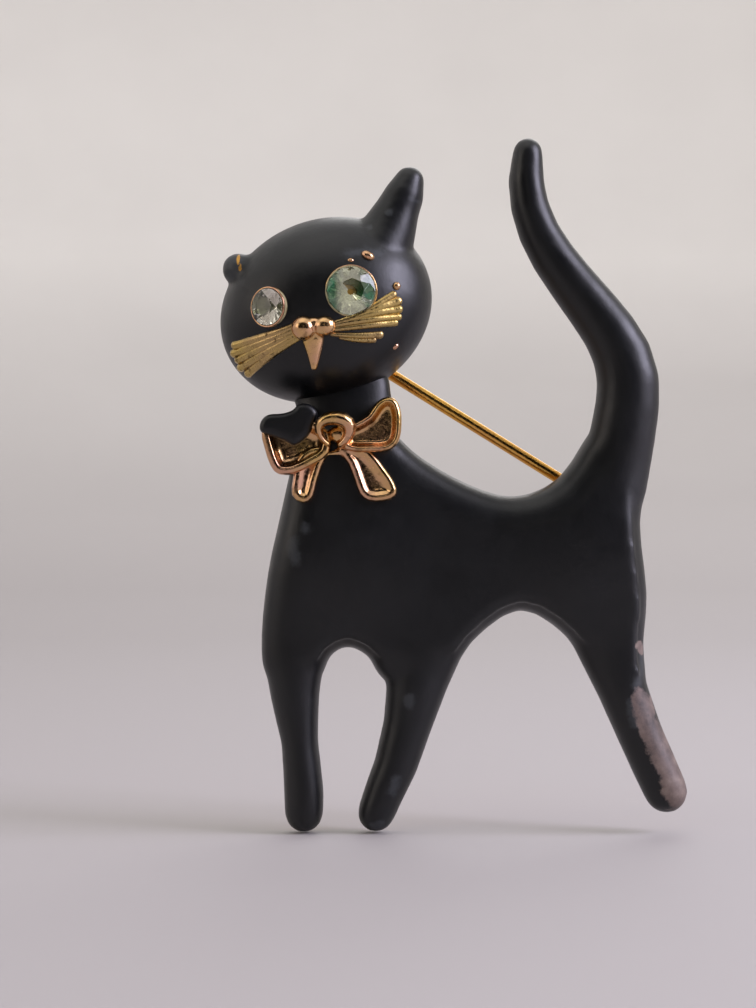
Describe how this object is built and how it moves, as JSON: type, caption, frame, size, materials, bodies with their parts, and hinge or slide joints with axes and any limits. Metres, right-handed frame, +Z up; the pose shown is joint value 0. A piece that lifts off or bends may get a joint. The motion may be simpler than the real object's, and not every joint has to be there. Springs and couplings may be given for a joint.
{
  "type": "cat brooch",
  "caption": "Cast cat brooch in black enamel with a gold bow, whiskers and glass eyes, and a hinged pin with a rollover safety catch on its back.",
  "frame": {"origin": "middle of the closed pin stem, on its own axis, where the cloth lies", "axes": "+Z up as the brooch is worn, from paws to tail tip; the front looks along -Y; +Y towards the cloth; +X to the right of someone looking at the cat"},
  "size_m": [0.0407, 0.0125, 0.0603],
  "materials": {
    "gold_plating": "bright gold plate over a polished casting",
    "black_enamel": "satin black cold enamel",
    "pale_green_glass": "cut and polished glass",
    "green_glass": "cut and polished glass",
    "foil": "silver mirror foil",
    "cement": "set clear cement",
    "solder": "plated soft solder"
  },
  "bodies": {
    "brooch": {"cat_casting": "gold_plating", "enamel_head": "black_enamel", "enamel_body": "black_enamel", "eye_stone_left": "pale_green_glass", "eye_stone_right": "green_glass", "eye_foil_left": "foil", "eye_foil_right": "foil", "eye_cement_left": "cement", "eye_cement_right": "cement", "hinge_base": "gold_plating", "hinge_rivet": "gold_plating", "hinge_solder": "solder", "catch_body": "gold_plating", "catch_solder": "solder"},
    "pin": {"pin_stem": "gold_plating"},
    "catch_sleeve": {"catch_rotor": "gold_plating"}
  },
  "joints": [
    {"name": "pin_hinge", "type": "hinge", "parent": "brooch", "child": "pin", "pos_m": [-0.01, 0, 0.0062], "axis": [0.5269, 0, 0.8499], "range_deg": [0, 85]},
    {"name": "catch_turn", "type": "hinge", "parent": "brooch", "child": "catch_sleeve", "pos_m": [0.01, 0, -0.0062], "axis": [0.8499, 0, -0.5269], "range_deg": [0, 90]}
  ]
}
